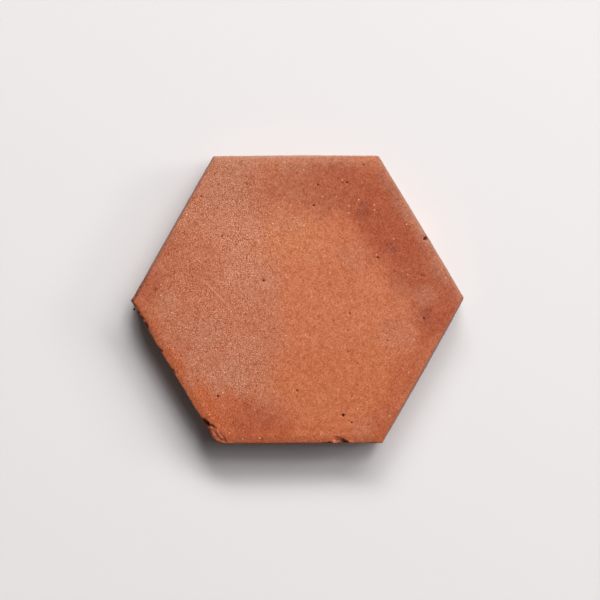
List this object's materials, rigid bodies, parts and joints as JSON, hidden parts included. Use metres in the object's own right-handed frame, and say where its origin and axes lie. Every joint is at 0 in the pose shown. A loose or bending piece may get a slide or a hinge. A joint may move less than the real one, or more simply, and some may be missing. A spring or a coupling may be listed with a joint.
{
  "type": "hexagonal terracotta tile",
  "caption": "Thick hexagonal terracotta floor tile with a crowned, eased face edge, slightly uneven hand-made sides, a broken corner and small chips.",
  "frame": {"origin": "middle of the flat back, on the plane that is bedded on the floor", "axes": "+Z out of the face, +X towards a corner of the hexagon, +Y towards the flat side that the picture shows at the top"},
  "size_m": [0.1766, 0.1533, 0.019],
  "materials": {
    "terracotta": "matte, unglazed, sandy"
  },
  "bodies": {
    "root": {"hexagonal_tile": "terracotta"}
  },
  "joints": []
}
